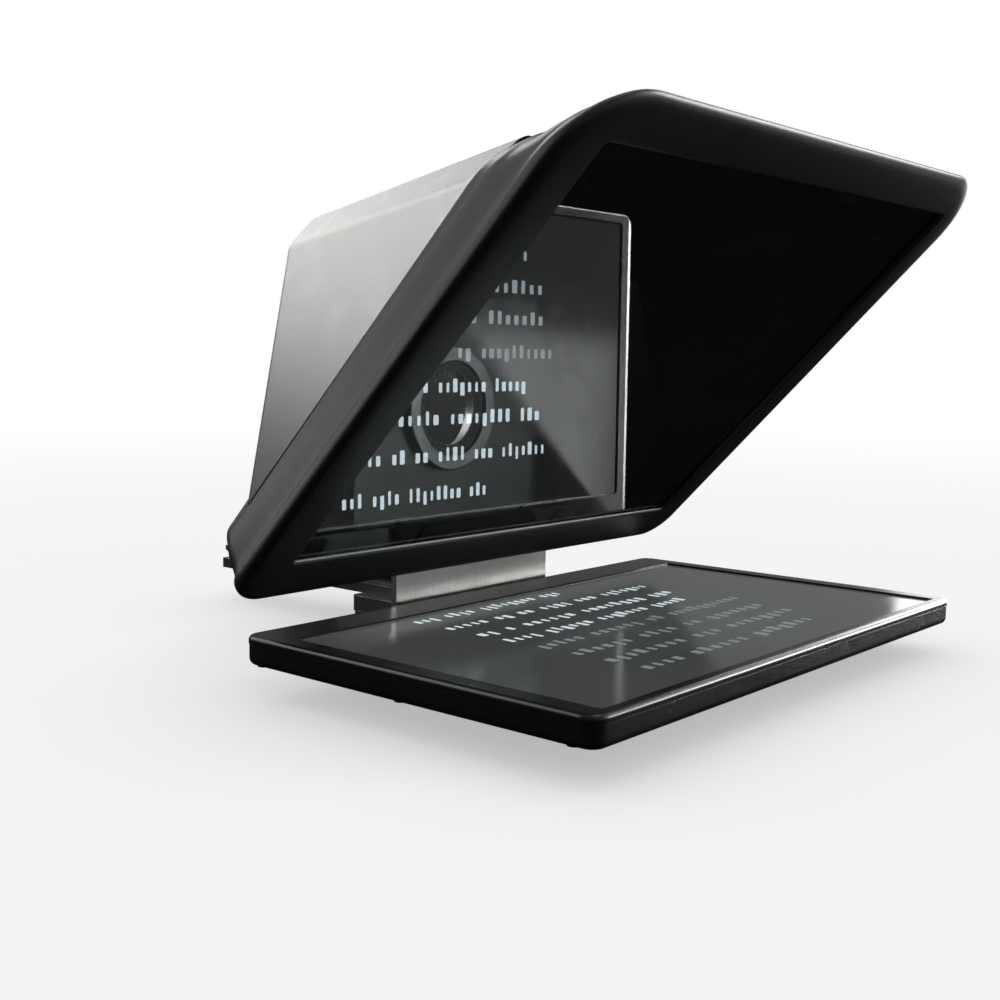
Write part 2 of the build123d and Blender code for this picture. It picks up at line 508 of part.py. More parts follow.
# ================================================================ hood rim
# stations: depth, half width, u0, u1, lower and upper corner radii
RIM_OUTSIDE = [
    (-3.0, 190.6, 31.4, 352.2, 17.0, 37.5), (-2.3, 193.9, 28.1, 355.5, 19.5, 40.0),
    (-0.9, 196.3, 25.7, 357.9, 21.6, 41.5), (1.0, 197.25, 24.8, 358.8, 22.4, 42.0),
    (4.5, 197.0, 25.0, 354.6, 22.2, 41.5), (6.4, 195.9, 26.1, 350.4, 21.4, 39.3),
    (9.0, 194.9, 27.1, 345.6, 21.0, 35.7), (18.0, 193.3, 28.7, 323.6, 20.0, 28.0),
    (22.0, 192.3, 29.7, 319.6, 19.4, 28.0), (25.0, 191.2, 30.8, 315.5, 18.8, 28.0),
    (RIM_BACK, 190.4, 31.8, 311.1, 18.0, 28.0)]
RIM_INSIDE = [
    (-0.6, 193.3, 28.7, 355.0, 18.6, 38.0), (4.5, 193.9, 28.1, 351.0, 19.0, 38.0),
    (6.6, 192.9, 29.1, 347.4, 18.6, 36.0), (9.0, 191.8, 30.2, 340.6, 18.0, 32.0),
    (18.0, 190.2, 31.8, 317.8, 17.0, 25.0), (25.0, 188.1, 33.9, 311.0, 16.0, 25.0),
    (RIM_BACK + 0.02, 187.3, 34.9, 307.0, 15.0, 25.0)]
GASKET_T, CLIP_T = 0.6, 1.8

# glass clips: x, u of the screw line, then the x and u direction towards the glass
CLIPS = []
for lower_x, upper_x in ((-160.0, -150.0), (-62.0, -62.0), (62.0, 62.0), (160.0, 150.0)):
    CLIPS += [(lower_x, GLASS_U0 - 5.9, 0, 1), (upper_x, GLASS_U1 + 5.9, 0, -1)]
for u in (110.0, 195.0, 280.0):
    CLIPS += [(-GLASS_HX - 6.0, u, 1, 0), (GLASS_HX + 6.0, u, -1, 0)]

# screws between rim and shell, as x, u: a lower pair, two side pairs and an upper pair
SHELL_SCREWS = mirror_x([(179.6, 42.4), (182.2, 152.0), (182.2, 238.0), (120.0, 296.0)])
LOWER, SIDE, UPPER = SHELL_SCREWS[:2], SHELL_SCREWS[2:6], SHELL_SCREWS[6:]


def clip_span(middle, toward, reach):
    """Clip range on one axis: its width, or from behind the screws to its reach."""
    if toward == 0:
        return middle - 12.5, middle + 12.5
    return sorted((middle - toward * 4.6, middle + toward * reach))


rim_outer = glass_loft(RIM_OUTSIDE)
rim = rim_outer - glass_loft(RIM_INSIDE)
# front opening, flared at its front edge
rim = rim - glass_loft([
    (-0.5, OPEN_HX, OPEN_U0, OPEN_U1, 3.0), (-1.8, OPEN_HX, OPEN_U0, OPEN_U1, 3.0),
    (-3.1, OPEN_HX + 1.3, OPEN_U0 - 1.3, OPEN_U1 + 1.3, 4.2)])

# pads beside the glass, with the clips and screws they carry
pads, clips, clip_screws, rim_holes = [], [], [], []
for x, u, dx, du in CLIPS:
    pads.append(glass_box(*clip_span(x, dx, 4.9), *clip_span(u, du, 4.9), -GASKET_T, GLASS_T))
    x0, x1 = clip_span(x, dx, 12.5)
    u0, u1 = clip_span(u, du, 20.5)
    place = glass_plane(GLASS_T) * Pos(-(x0 + x1) / 2, (u0 + u1) / 2)
    clip = extrude(place * RectangleRounded(x1 - x0, u1 - u0, 3.0), CLIP_T)
    for offset in (-7.0, 7.0):
        hole_x, hole_u = x + offset * abs(du), u + offset * abs(dx)
        clip = clip - glass_rod(hole_x, hole_u, GLASS_T - 1, GLASS_T + 4, 1.35)
        rim_holes.append(glass_rod(hole_x, hole_u, -1.8, GLASS_T + 1, 1.25))
        seat = glass_point(hole_x, hole_u, GLASS_T + CLIP_T)
        clip_screws.append(pan_screw(seat, GLASS_FRONT, 1.25, 2.2, 1.5, 6.4))
    clips.append(clip)
rim = rim + [pad_block & rim_outer for pad_block in pads]

# bosses for the shell screws
for x, u in LOWER + SIDE:
    rim = rim + (glass_rod(x, u, -GASKET_T, RIM_BACK, 3.9) & rim_outer)
for x, u in UPPER:
    rim = rim + (glass_box(x - 6, x + 6, 291.0, 350.0, 13.0, RIM_BACK) & rim_outer)
for x, u in SHELL_SCREWS:
    rim_holes.append(glass_rod(x, u, RIM_BACK - 9.0, RIM_BACK + 1, 1.5))
# mounting pad under the lower band, for the bracket's top flange
rim = rim + glass_box(-64, 64, FLANGE_U1, 37.0, 6.6, FLANGE_END)
for x in HOOD_SCREW_XS:
    rim_holes.append(rod(glass_point(x, FLANGE_U1 - 1, HOOD_SCREW_DEPTH), GLASS_UP, 2.0, 10.0))
save("hood_rim", rim - rim_holes)
save("glass_clips", clips)
save("glass_clip_screws", clip_screws)

# glass, and the gasket around the edge of its front face
save("beam_splitter_glass", extrude(glass_rect(0, GLASS_HX, GLASS_U0, GLASS_U1, 2.0), GLASS_T))
gasket = extrude(glass_rect(-GASKET_T, GLASS_HX, GLASS_U0, GLASS_U1, 2.0), GASKET_T)
gasket = gasket - extrude(
    glass_rect(-1.6, GLASS_HX - 4.5, GLASS_U0 + 4.5, GLASS_U1 - 4.5, 2.0), 3)
save("glass_gasket", gasket)

# ================================================================ hood shell
# panel corners on the right; the left mirrors them
LOW_CREASE_REAR, HIGH_CREASE_REAR = (159.0, 61.0, 235.9), (143.0, 59.5, 252.0)
LOW_CREASE_FRONT = (191.0, -100.0, 256.0)
SIDE_REAR_FOOT = (190.4, 57.5, 103.6)
REAR_PANEL_EDGE = (138.0, REAR_Y, 154.0)
REAR_PANEL_CORNER = (126.0, REAR_Y, 222.0)
INSIDE = Vector(0, 20, 160)
MAGNETS = [(sx * 99.4, z) for sx in (-1, 1) for z in (92.0, 202.0)]
MAGNET_Y, MAGNET_R = 96.0, 3.0
TAB_T = 3.4


def flip(point):
    return (-point[0], point[1], point[2])


def panel(a, b, c):
    """A point on the plane through three points, and the plane's outward normal."""
    a, b, c = Vector(*a), Vector(*b), Vector(*c)
    normal = (b - a).cross(c - a).normalized()
    if normal.dot(INSIDE - a) > 0:
        normal = normal * -1
    return a, normal


def panel_pair(a, b, c):
    return [panel(a, b, c), panel(flip(a), flip(b), flip(c))]


PANELS = [
    *panel_pair(LOW_CREASE_REAR, SIDE_REAR_FOOT, LOW_CREASE_FRONT),
    *panel_pair(LOW_CREASE_REAR, LOW_CREASE_FRONT, HIGH_CREASE_REAR),
    panel(HIGH_CREASE_REAR, flip(HIGH_CREASE_REAR), (0, -116.0, 273.5)),    # top
    (Vector(0, REAR_Y, 0), Vector(0, 1, 0)),
    *panel_pair(LOW_CREASE_REAR, SIDE_REAR_FOOT, REAR_PANEL_EDGE),
    panel(HIGH_CREASE_REAR, flip(HIGH_CREASE_REAR), (0, REAR_Y, 230.0)),    # rear top facet
    *panel_pair(LOW_CREASE_REAR, HIGH_CREASE_REAR, REAR_PANEL_CORNER)]


def hull(inset, depth):
    """Faceted block inside the panels, moved in by inset and cut off in front at depth."""
    block = Pos(0, 0, 160) * Box(520, 520, 420)
    for point, normal in PANELS:
        block = block - beyond(point - normal * inset, normal)
    return block - beyond(glass_point(0, 0, depth), GLASS_FRONT)


def on_front(edge):
    return abs((edge.center() - glass_point(0, 0, RIM_BACK)).dot(GLASS_BACK)) < 0.5


body = hull(0, RIM_BACK)
creases = [e for e in body.edges() if not on_front(e)]
# the short facet edges may refuse a large radius, so the first that works is used
for radius in (8.0, 6.5, 5.0, 2.0):
    try:
        body = fillet(creases, radius)
        break
    except Exception:
        continue
flange = glass_loft([
    (RIM_BACK, 190.4, 31.8, 311.1, 18.0, 28.0), (RIM_BACK + 1.6, 189.8, 32.5, 308.2, 17.4, 28.0),
    (RIM_BACK + 3.0, 189.3, 33.4, 306.4, 17.0, 28.0)])
recess_wall = rounded_box_y(RECESS_HX + 3.2, RECESS_Z0 - 3.0, RECESS_Z1 + 3.2, RECESS_R + 3,
                            REAR_Y - 2, COLLAR_Y1)
collar = rounded_box_y(COLLAR_HX, COLLAR_Z0, COLLAR_Z1, 8.0, COLLAR_Y0, COLLAR_Y1)
shell = body + flange + recess_wall + collar
shell = shell - hull(WALL, RIM_BACK - 4)
shell = shell - rounded_box_y(RECESS_HX, RECESS_Z0, RECESS_Z1, RECESS_R, REAR_Y - 5, 100)
# screw tabs inside the front edge
tabs = [glass_box(x - 5, x + 5, u - 7, u + 7, RIM_BACK, RIM_BACK + TAB_T) for x, u in SIDE]
tabs += [glass_box(x - 9, x + 9, u - 6, u + 9.5, RIM_BACK, RIM_BACK + TAB_T) for x, u in UPPER]
shell = shell + [tab & (body + flange) for tab in tabs]
shell = shell - beyond(glass_point(0, 0, RIM_BACK), GLASS_FRONT)
for x, u in SHELL_SCREWS:
    shell = shell - glass_rod(x, u, RIM_BACK - 1, RIM_BACK + 6, 1.7)
for x, u in LOWER:
    shell = shell - glass_rod(x, u, RIM_BACK + 3.0, RIM_BACK + 12, 3.2)
for x, z in MAGNETS:
    shell = shell - rod_y(x, MAGNET_Y, z, MAGNET_R, 4)
save("hood_shell", shell)

seats = [glass_point(x, u, RIM_BACK + 3.0) for x, u in LOWER]
seats += [glass_point(x, u, RIM_BACK + TAB_T) for x, u in SIDE + UPPER]
save("hood_screws", [pan_screw(seat, GLASS_FRONT, 1.5, 2.7, 1.8, 10.0) for seat in seats])
save("back_plate_magnets", [rod_y(x, MAGNET_Y, z, MAGNET_R, 3.0) for x, z in MAGNETS])

# ================================================================ back plate and lens ring
# plate that plugs the recess, with a flange over the collar
plate = rounded_box_y(RECESS_HX - 0.3, RECESS_Z0 + 0.3, RECESS_Z1 - 0.3, RECESS_R - 0.3,
                      COLLAR_Y0, COLLAR_Y1)
plate = plate + rounded_box_y(COLLAR_HX, COLLAR_Z0, COLLAR_Z1, 8.0, COLLAR_Y1, 101.5)
plate = plate - rod_y(0, 90, LENS_Z, 35.05, 20)
for x0, x1 in ((-76, -42), (42, 76)):
    plate = plate - box(x0, x1, 90, 98.0, 70, RECESS_Z0 + 3.4)
for x, z in MAGNETS:
    plate = plate - rod_y(x, 98.5, z, 3.2, 1.9)
# finger notches in the sides of the flange
for side in (-1, 1):
    plate = plate - rod_y(side * 110.5, 98, LENS_Z, 12.0, 5)
save("back_plate", plate)
save("back_plate_keepers", [rod_y(x, COLLAR_Y1, z, 3.2, 1.4) for x, z in MAGNETS])

# lens ring with a notched edge
ring = rod_y(0, 89.0, LENS_Z, 39.0, 6.0)
ring = fillet(ring.faces().sort_by(Axis.Y)[0].edges(), 0.9)
ring = ring + rod_y(0, 94.5, LENS_Z, 35.0, 10.5)
ring = ring - rod_y(0, 88, LENS_Z, 30.5, 7.0) - rod_y(0, 94, LENS_Z, 28.0, 14)
for i in range(36):
    angle = 2 * math.pi * i / 36
    x, z = 39.4 * math.cos(angle), LENS_Z + 39.4 * math.sin(angle)
    ring = ring - rod_y(x, 91.2, z, 0.9, 3.0)
save("lens_ring", ring)
save("lens_ring_retainer", rod_y(0, 101.6, LENS_Z, 38.5, 2.6) - rod_y(0, 101, LENS_Z, 35.0, 5))

# light seal inside the ring, stepped on its front side
seal = rod_y(0, 91.4, LENS_Z, 30.4, 3.6) - rod_y(0, 90, LENS_Z, 23.0, 8)
save("lens_light_seal", seal - rod_y(0, 90, LENS_Z, 26.5, 2.6))
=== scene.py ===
# A script display lying flat under a part-mirror glass, with a hood round the glass and a
# lens ring behind it. X runs across, the front is at -Y and +Z is up. The glass leans
# forward at 45 degrees: u is measured up its slope and depth square to it, backwards from
# its front face. Lengths are in mm for meshes and in metres inside materials and the stage.
import json
import math
import random

import bmesh
import bpy
from mathutils import Matrix, Vector

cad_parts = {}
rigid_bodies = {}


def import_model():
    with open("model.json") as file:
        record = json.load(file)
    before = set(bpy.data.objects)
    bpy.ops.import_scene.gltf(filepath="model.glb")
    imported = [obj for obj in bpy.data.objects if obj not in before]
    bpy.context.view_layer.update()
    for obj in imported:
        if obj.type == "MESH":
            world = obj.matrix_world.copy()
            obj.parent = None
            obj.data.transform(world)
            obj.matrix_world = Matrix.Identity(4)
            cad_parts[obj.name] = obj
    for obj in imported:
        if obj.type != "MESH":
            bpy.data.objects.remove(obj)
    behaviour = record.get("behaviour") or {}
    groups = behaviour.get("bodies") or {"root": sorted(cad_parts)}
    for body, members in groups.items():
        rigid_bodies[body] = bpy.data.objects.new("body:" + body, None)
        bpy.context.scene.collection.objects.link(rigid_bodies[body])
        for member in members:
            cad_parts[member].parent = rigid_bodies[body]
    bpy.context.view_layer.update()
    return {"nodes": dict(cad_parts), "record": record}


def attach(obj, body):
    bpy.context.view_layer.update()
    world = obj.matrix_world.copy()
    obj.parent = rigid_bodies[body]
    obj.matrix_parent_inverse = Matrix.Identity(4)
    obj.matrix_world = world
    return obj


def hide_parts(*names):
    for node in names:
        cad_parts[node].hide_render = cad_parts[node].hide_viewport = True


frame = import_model()

MM = 0.001
DIAGONAL = math.sqrt(0.5)         # sine and cosine of the glass's lean
GLASS_Y, GLASS_Z = 85.8, 34.0     # the glass's front face at u = 0
LENS_Z = 147.0                    # height of the lens axis, which runs along Y


# ------------------------------------------------------------------ node helpers
class Graph:
    """Shorthand for building the node tree of a material or a world."""

    spare_input = 0.0             # third socket of math nodes, which no operation here reads

    def __init__(self, owner):
        owner.use_nodes = True
        self.tree = owner.node_tree
        self.tree.nodes.clear()

    def set(self, socket, value):
        if isinstance(value, bpy.types.NodeSocket):
            self.tree.links.new(value, socket)
            return
        if socket.type == "RGBA" and len(value) == 3:
            value = (*value, 1.0)
        socket.default_value = value

    def node(self, kind, inputs=None, **settings):
        node = self.tree.nodes.new(kind)
        for key, value in settings.items():
            setattr(node, key, value)
        for key, value in (inputs or {}).items():
            self.set(node.inputs[key], value)
        return node

    def math(self, operation, a, b=0.0, clamp=False):
        return self.node("ShaderNodeMath", {0: a, 1: b, 2: self.spare_input},
                         operation=operation, use_clamp=clamp).outputs[0]

    def add(self, a, b, clamp=False):
        return self.math("ADD", a, b, clamp)

    def minus(self, a, b, clamp=False):
        return self.math("SUBTRACT", a, b, clamp)

    def times(self, a, b):
        return self.math("MULTIPLY", a, b)

    def add_scaled(self, base, term, weight, clamp=False):
        return self.add(base, self.times(term, weight), clamp)

    def axes(self, vector):
        return self.node("ShaderNodeSeparateXYZ", {0: vector}).outputs

    def to_front_right(self, x, y):
        """Distance towards the front right, +X and -Y."""
        return self.add_scaled(self.times(x, 0.75), y, weight=-0.65)

    def seen(self, path, depth_limit):
        """1 for camera rays that have crossed fewer clear surfaces than the limit."""
        shallow = self.math("LESS_THAN", path.outputs["Transparent Depth"], depth_limit)
        return self.times(path.outputs["Is Camera Ray"], shallow)

    def dim_to_camera(self, value, path):
        camera_share = self.times(path.outputs["Is Camera Ray"], 0.9)
        return self.times(value, self.minus(1.0, camera_share))


class Material(Graph):
    """A node material in object coordinates, with a Principled surface unless told otherwise."""

    def __init__(self, name, principled=True):
        self.material = bpy.data.materials.new(name)
        super().__init__(self.material)
        self.output = self.node("ShaderNodeOutputMaterial")
        if principled:
            self.principled = self.node("ShaderNodeBsdfPrincipled")
            self.finish(self.principled)
        self.coords = self.node("ShaderNodeTexCoord").outputs["Object"]

    def finish(self, shader):
        self.set(self.output.inputs[0], shader.outputs[0])

    def surface(self, **values):
        """Principled inputs, with underscores for the spaces in their names."""
        for key, value in values.items():
            self.set(self.principled.inputs[key.replace("_", " ")], value)

    def mapping(self, scale=(1, 1, 1), rotation=(0, 0, 0), location=(0, 0, 0)):
        inputs = {"Vector": self.coords, "Scale": scale, "Rotation": rotation,
                  "Location": location}
        return self.node("ShaderNodeMapping", inputs).outputs[0]

    def noise(self, scale, detail=2.0, rough=0.5, distort=0.0, vector=None):
        inputs = {"Vector": vector or self.coords, "Scale": scale, "Detail": detail,
                  "Roughness": rough, "Distortion": distort}
        return self.node("ShaderNodeTexNoise", inputs).outputs["Fac"]

    def voronoi(self, scale, feature="F1", random=1.0):
        inputs = {"Vector": self.coords, "Scale": scale, "Randomness": random}
        return self.node("ShaderNodeTexVoronoi", inputs, feature=feature).outputs["Distance"]

    def ramp(self, value, span, to=(0.0, 1.0), smooth=True):
        """Map the span onto another range, held at its ends."""
        inputs = {0: value, 1: span[0], 2: span[1], 3: to[0], 4: to[1]}
        return self.node("ShaderNodeMapRange", inputs, clamp=True,
                         interpolation_type="SMOOTHSTEP" if smooth else "LINEAR").outputs[0]

    def mix(self, factor, a, b):
        return self.node("ShaderNodeMix", {0: factor, 6: a, 7: b},
                         data_type="RGBA", blend_type="MIX").outputs[2]

    def mix_shader(self, factor, a, b):
        return self.node("ShaderNodeMixShader", {0: factor, 1: a.outputs[0], 2: b.outputs[0]})

    def layer_weight(self, blend, output):
        return self.node("ShaderNodeLayerWeight", {"Blend": blend}).outputs[output]

    def bump(self, height, distance, strength=1.0, normal=None):
        inputs = {"Strength": strength, "Distance": distance, "Height": height}
        if normal is not None:
            inputs["Normal"] = normal
        return self.node("ShaderNodeBump", inputs).outputs[0]

    def radius(self, a, b):
        return self.math("SQRT", self.add(self.times(a, a), self.times(b, b)))

    def edge(self, radius):
        """A mask, 1 on edges and 0 on flats, and the rounded normal it comes from."""
        rounded = self.node("ShaderNodeBevel", {"Radius": radius}, samples=4).outputs[0]
        flat = self.node("ShaderNodeNewGeometry").outputs["Normal"]
        dot = self.node("ShaderNodeVectorMath", {0: rounded, 1: flat}, operation="DOT_PRODUCT")
        return self.ramp(dot.outputs["Value"], span=(0.995, 0.80)), rounded


def tint(color, gain, lift=0.0):
    return [min(1.0, channel * gain + lift) for channel in color]


# ------------------------------------------------------------------ materials
def plastic(name, color, rough, grain, depth, smudge=0.10, edge_radius=0.0006, wear=0.25,
            relief=None):
    """Moulded plastic: eroded grain, flow and finger marks in the gloss, edges rubbed lighter."""
    dust = 0.25
    m = Material(name)
    broad = m.noise(scale=9.0, detail=4.0, rough=0.55)
    marks = m.noise(scale=46.0, detail=5.0, rough=0.62, distort=1.4)
    fine = m.noise(scale=grain, detail=3.0, rough=0.6)
    pits = m.voronoi(scale=grain * 0.55, feature="SMOOTH_F1")
    height = m.add_scaled(m.times(fine, 0.7), pits, weight=0.6)
    edge, normal = m.edge(edge_radius)
    stretched = m.mapping(scale=(1.0, 14.0, 3.0), rotation=(0.3, 0.9, 0.2))
    scratches = m.ramp(m.noise(scale=14.0, detail=6.0, rough=0.7, distort=0.6, vector=stretched),
                       span=(0.62, 0.70))
    # gloss
    gloss = m.add_scaled(rough, m.minus(broad, 0.5), weight=smudge * 0.7)
    gloss = m.add_scaled(gloss, m.ramp(marks, span=(0.45, 0.75)), weight=-smudge * 0.55)
    gloss = m.add_scaled(gloss, scratches, weight=-0.05)
    gloss = m.minus(gloss, m.times(edge, 0.10 * wear), clamp=True)
    # colour, with a dusty film and specks on the faces that look up
    base = m.mix(m.ramp(broad, span=(0.3, 0.7)), tint(color, 0.90), tint(color, 1.10))
    facing = m.axes(m.node("ShaderNodeNewGeometry").outputs["Normal"])
    upward = m.ramp(facing[2], span=(0.55, 1.0))
    specks = m.ramp(m.noise(scale=700.0, detail=2.0, rough=0.7), span=(0.66, 0.78))
    film = m.times(m.times(upward, m.ramp(marks, span=(0.35, 0.8))), dust)
    base = m.mix(m.times(film, 0.10), base, (0.35, 0.34, 0.33))
    base = m.mix(m.times(m.times(specks, upward), dust * 0.35), base, (0.42, 0.41, 0.39))
    patches = m.ramp(m.noise(scale=160.0, detail=4.0, rough=0.6), span=(0.40, 0.70))
    worn = m.times(edge, m.times(patches, wear))
    base = m.mix(worn, base, tint(color, gain=2.2, lift=0.02))
    m.surface(Base_Color=base, Roughness=gloss, Specular_IOR_Level=0.5)
    if relief:
        normal = m.bump(relief(m), distance=1.0, strength=1.0, normal=normal)
    m.surface(Normal=m.bump(height, depth, strength=0.8, normal=normal))
    return m.material


def soft_shoulder(m):
    """The bezel's flat falls away over its last few millimetres on the right and at the back."""
    center_y, start_x, start_y = -0.0475, 0.1812, 0.1107    # the starts are from the centre
    slope = -0.24
    x, y, _ = m.axes(m.coords)
    past_x = m.minus(x, start_x)
    past_y = m.minus(m.add(y, -center_y), start_y)
    past = m.math("MAXIMUM", m.math("MAXIMUM", past_x, past_y), 0.0)
    return m.times(past, slope)


def metal(name, color, rough, depth, brush=None, bead=0.0, anisotropy=0.0, wear=0.3,
          metallic=1.0, bright=None):
    """Metal, either brushed along a stretched noise or bead-blasted, with rubbed edges."""
    m = Material(name)
    edge, normal = m.edge(0.0004)
    if brush:
        along = m.mapping(scale=brush)
        lines = m.noise(scale=1.0, detail=5.0, rough=0.65, vector=along)
        bands = m.noise(scale=0.23, detail=3.0, rough=0.6, vector=along)
        height = m.add_scaled(m.times(lines, 0.9), bands, weight=0.6)
        base = m.mix(m.ramp(lines, span=(0.3, 0.7)), tint(color, 0.86), tint(color, 1.10))
        gloss = m.add_scaled(rough, m.minus(bands, 0.5), weight=0.18)
    else:
        broad = m.noise(scale=12.0, detail=4.0, rough=0.6)
        base = m.mix(m.ramp(broad, span=(0.3, 0.7)), tint(color, 0.9), tint(color, 1.08))
        gloss = m.add_scaled(rough, m.minus(broad, 0.5), weight=0.12)
        height = m.times(m.noise(scale=3800.0, detail=2.0, rough=0.6), bead)
    marks = m.ramp(m.noise(scale=38.0, detail=5.0, rough=0.6, distort=1.2), span=(0.48, 0.72))
    gloss = m.add_scaled(gloss, marks, weight=0.06, clamp=True)
    patches = m.ramp(m.noise(scale=210.0, detail=4.0, rough=0.65), span=(0.42, 0.66))
    worn = m.times(edge, m.times(patches, wear))
    base = m.mix(worn, base, bright or tint(color, gain=1.7, lift=0.05))
    m.surface(Base_Color=base, Metallic=metallic, Roughness=gloss, Anisotropic=anisotropy,
              Normal=m.bump(height, depth, strength=0.7, normal=normal))
    return m.material


def rubber(name, color, rough, grain, depth):
    m = Material(name)
    broad = m.noise(scale=30.0, detail=4.0, rough=0.6)
    height = m.add_scaled(m.noise(scale=grain, detail=3.0, rough=0.65),
                          m.voronoi(scale=grain * 0.5), weight=0.5)
    m.surface(
        Base_Color=m.mix(m.ramp(broad, span=(0.35, 0.7)), tint(color, 0.8), tint(color, 1.35)),
        Roughness=m.add_scaled(rough, broad, weight=0.12, clamp=True),
        Specular_IOR_Level=0.35,
        Sheen_Weight=0.12,
        Normal=m.bump(height, depth, strength=0.8))
    return m.material


def knit(name):
    """Fine ribbed stretch fabric: ribs round the lens axis crossed by rings."""
    ribs, rings = 260.0, 9800.0       # radians of wave per radian round, and per metre outward
    m = Material(name)
    x, _, z = m.axes(m.mapping(location=(0, 0, -LENS_Z * MM)))
    angle = m.math("ARCTAN2", z, x)
    warp = m.math("SINE", m.times(angle, ribs))
    weft = m.math("SINE", m.times(m.radius(x, z), rings))
    height = m.add_scaled(m.times(warp, 0.5), weft, weight=0.35)
    height = m.add_scaled(height, m.noise(scale=2600.0, detail=3.0, rough=0.6), weight=0.8)
    broad = m.noise(scale=60.0, detail=4.0, rough=0.6)
    m.surface(
        Base_Color=m.mix(m.ramp(broad, span=(0.3, 0.75)),
                         (0.010, 0.010, 0.011), (0.028, 0.028, 0.030)),
        Roughness=m.add_scaled(0.72, broad, weight=0.18),
        Sheen_Weight=0.45,
        Sheen_Roughness=0.5,
        Normal=m.bump(height, distance=0.00010, strength=0.7))
    return m.material


def circuit_board(name):
    """Green board with tracks between cells and round gilt pads."""
    m = Material(name)
    cells = m.voronoi(scale=420.0, feature="DISTANCE_TO_EDGE", random=0.35)
    tracks = m.ramp(cells, span=(0.04, 0.09))
    broad = m.noise(scale=80.0, detail=3.0, rough=0.5)
    base = m.mix(tracks, (0.05, 0.20, 0.09), (0.012, 0.085, 0.038))
    pads = m.ramp(m.voronoi(scale=330.0), span=(0.16, 0.12))
    m.surface(
        Base_Color=m.mix(pads, base, (0.62, 0.50, 0.22)),
        Metallic=m.times(pads, 0.9),
        Roughness=m.add_scaled(0.28, broad, weight=0.2),
        Coat_Weight=0.3,
        Normal=m.bump(m.add(tracks, pads), distance=0.00005, strength=0.6))
    return m.material


def polyimide(name):
    """Amber ribbon with conductors side by side across X."""
    m = Material(name)
    wave = m.math("SINE", m.times(m.axes(m.coords)[0], 9000.0))
    lines = m.ramp(wave, span=(-0.1, 0.5))
    m.surface(
        Base_Color=m.mix(lines, (0.42, 0.17, 0.03), (0.62, 0.34, 0.10)),
        Roughness=m.add_scaled(0.30, m.noise(scale=300.0), weight=0.15),
        Normal=m.bump(lines, distance=0.00003, strength=0.6))
    return m.material


def clear(name):
    """Clear acrylic with a pattern of fine dots."""
    m = Material(name)
    dots = m.ramp(m.voronoi(scale=900.0, random=0.1), span=(0.30, 0.22))
    m.surface(
        Base_Color=m.mix(dots, (0.80, 0.84, 0.86), (0.95, 0.96, 0.97)),
        Roughness=m.add_scaled(0.10, dots, weight=0.35),
        Transmission_Weight=0.6,
        IOR=1.49,
        Normal=m.bump(dots, distance=0.00002, strength=0.5))
    return m.material


def beam_splitter(name):
    """Part-mirror front face and clear back face, with faint wiping marks and a few specks."""
    m = Material(name, principled=False)
    _, y, z = m.axes(m.coords)
    depth = m.times(m.minus(m.add(y, z), (GLASS_Y + GLASS_Z) * MM), DIAGONAL)
    front = m.ramp(depth, span=(0.0010, 0.0014), to=(1.0, 0.0), smooth=False)
    stretched = m.mapping(scale=(1.0, 3.5, 1.2), rotation=(0.5, 0.2, 0.7))
    wipes = m.noise(scale=7.0, detail=6.0, rough=0.65, distort=1.6, vector=stretched)
    haze = m.ramp(wipes, span=(0.50, 0.80))
    specks = m.ramp(m.voronoi(scale=150.0), span=(0.055, 0.035))
    fresnel = m.layer_weight(blend=0.25, output="Fresnel")
    mirror = m.times(front, m.add_scaled(0.30, fresnel, weight=0.30))
    mirror = m.add(mirror, 0.012, clamp=True)      # both faces reflect at least this much
    ripple = m.bump(m.noise(scale=3.0, detail=2.0, rough=0.4), distance=0.00002, strength=0.15)
    glossy = m.node("ShaderNodeBsdfGlossy", {"Color": (0.97, 0.99, 1.0),
                                             "Roughness": m.times(haze, 0.02),
                                             "Normal": ripple})
    through = m.node("ShaderNodeBsdfTransparent", {"Color": (0.90, 0.93, 0.92)})
    dust = m.node("ShaderNodeBsdfDiffuse", {"Color": (0.55, 0.56, 0.57)})
    glass = m.mix_shader(mirror, through, glossy)
    dirt = m.times(m.add_scaled(m.times(haze, 0.006), specks, weight=0.05), front)
    m.finish(m.mix_shader(dirt, glass, dust))
    return m.material


def screen(name):
    """Display surface: dark, with a clouded black-level glow, under a hard coat."""
    m = Material(name)
    clouds = m.noise(scale=6.0, detail=3.0, rough=0.5)
    smears = m.ramp(m.noise(scale=22.0, detail=6.0, rough=0.65, distort=2.0), span=(0.48, 0.78))
    facing = m.layer_weight(blend=0.5, output="Facing")
    glow = m.times(m.ramp(clouds, span=(0.25, 0.75), to=(0.80, 1.12)), 0.048)
    glow = m.times(glow, m.ramp(facing, span=(0.3, 0.95), to=(0.70, 1.15)))
    m.surface(
        Base_Color=(0.010, 0.011, 0.012),
        Roughness=m.add_scaled(0.10, smears, weight=0.10),
        Specular_IOR_Level=0.55,
        Emission_Color=(0.93, 1.0, 0.97),
        Emission_Strength=glow,
        Normal=m.bump(m.noise(scale=5200.0, detail=2.0, rough=0.6),
                      distance=0.000012, strength=0.4))
    return m.material


def lit(name, along, above):
    """Lit bars: emission strength seen along the surface, and seen from above it."""
    m = Material(name)
    facing = m.layer_weight(blend=0.5, output="Facing")
    cells = m.ramp(m.voronoi(scale=3000.0, random=0.0), span=(0.30, 0.62), to=(1.0, 0.82))
    m.surface(
        Base_Color=(0.02, 0.02, 0.02),
        Roughness=0.3,
        Emission_Color=(0.80, 0.93, 1.0),
        Emission_Strength=m.times(m.ramp(facing, span=(0.35, 0.85), to=(above, along)), cells),
        Normal=m.bump(cells, distance=0.00001, strength=0.3))
    return m.material


